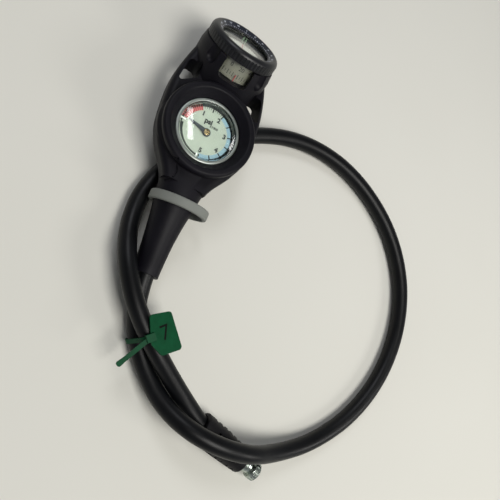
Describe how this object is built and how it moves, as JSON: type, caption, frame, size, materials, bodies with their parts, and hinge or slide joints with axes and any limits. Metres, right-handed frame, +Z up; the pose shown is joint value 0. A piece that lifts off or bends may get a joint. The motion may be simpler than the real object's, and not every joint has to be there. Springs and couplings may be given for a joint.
{
  "type": "dive gauge console",
  "caption": "Rubber diver's console holding a pressure gauge and a tilted compass, with a tapered neck, a coiled high-pressure hose, a slotted hose sleeve, a chromed fitting and a marker tie.",
  "frame": {"origin": "on the table, under the middle of the console without its hose", "axes": "+X across the console to its right, +Y from the hose's neck towards the compass, +Z up, out of the gauge's face"},
  "size_m": [0.2886, 0.3225, 0.0656],
  "materials": {
    "boot_rubber": "matt moulded black rubber",
    "band_rubber": "matt grey rubber band",
    "chromed_brass": "polished chromed brass",
    "clear_lens": "clear, glossy",
    "clear_capsule": "clear, glossy",
    "seal_rubber": "smooth black seal",
    "dark_inner": "matt dark inner ring",
    "dial_face": "pale luminous dial print",
    "needle_black": "matt black paint",
    "brass": "turned brass",
    "spring_bronze": "drawn spring bronze",
    "steel": "turned stainless steel",
    "hose_rubber": "black cover, slightly glossy",
    "protector_rubber": "matt black rubber",
    "bezel_plastic": "satin black plastic, printed scale",
    "base_plastic": "satin black plastic",
    "card_white": "white printed card",
    "magnet": "ground magnet alloy",
    "jewel": "polished jewel",
    "tie_green": "bright green moulded nylon"
  },
  "bodies": {
    "console": {"console_boot": "boot_rubber", "retaining_band": "band_rubber", "gauge_case": "chromed_brass", "gauge_bezel_ring": "chromed_brass", "gauge_lens": "clear_lens", "lens_gasket": "seal_rubber", "relief_plug": "seal_rubber", "dial_spacer": "dark_inner", "dial_plate": "dial_face", "zero_stop_pin": "needle_black", "hairspring": "spring_bronze", "bourdon_tube": "spring_bronze", "gauge_socket": "brass", "movement_back_plate": "brass", "movement_front_plate": "brass", "movement_pillars": "brass", "swivel_spool": "steel", "spool_o_rings": "seal_rubber", "hose_nut": "chromed_brass", "hose_ferrule": "chromed_brass", "high_pressure_hose": "hose_rubber", "hose_protector": "protector_rubber", "far_ferrule": "chromed_brass", "hose_end_fitting": "chromed_brass", "fitting_seal": "seal_rubber", "bezel_snap_ring": "steel", "compass_capsule": "clear_capsule", "capsule_base": "base_plastic", "filler_plug": "base_plastic", "pivot_pin": "steel", "marker_tie": "tie_green"},
    "sector": {"sector_gear": "brass", "sector_arbor": "brass"},
    "link": {"link": "brass"},
    "pointer": {"pinion_arbor": "brass", "needle": "needle_black", "needle_hub_cap": "brass"},
    "bezel": {"compass_bezel": "bezel_plastic"},
    "card": {"compass_card": "card_white", "card_magnet": "magnet", "jewel_cup": "jewel"}
  },
  "joints": [
    {"name": "sector_turn", "type": "hinge", "parent": "console", "child": "sector", "pos_m": [0.0112, 0.0066, 0.0235], "axis": [0, 0, 1], "range_deg": [0, 36.5]},
    {"name": "link_turn", "type": "hinge", "parent": "sector", "child": "link", "pos_m": [0.01498, 0.0053, 0.025], "axis": [0, 0, 1], "range_deg": [-36.6, 0.1]},
    {"name": "pointer_turn", "type": "hinge", "parent": "console", "child": "pointer", "pos_m": [0, 0.0066, 0.033], "axis": [0, 0, 1], "range_deg": [-255.6, 0.5]},
    {"name": "bezel_turn", "type": "hinge", "parent": "console", "child": "bezel", "pos_m": [0, 0.0822, 0.0497], "axis": [0, 0.6074, 0.7944], "continuous": true},
    {"name": "card_turn", "type": "hinge", "parent": "console", "child": "card", "pos_m": [0, 0.0822, 0.0497], "axis": [0, 0.6074, 0.7944], "continuous": true}
  ],
  "couplings": [
    {"joint": "pointer_turn", "follows": "sector_turn", "ratio": -7},
    {"joint": "link_turn", "follows": "sector_turn", "ratio": -1}
  ]
}
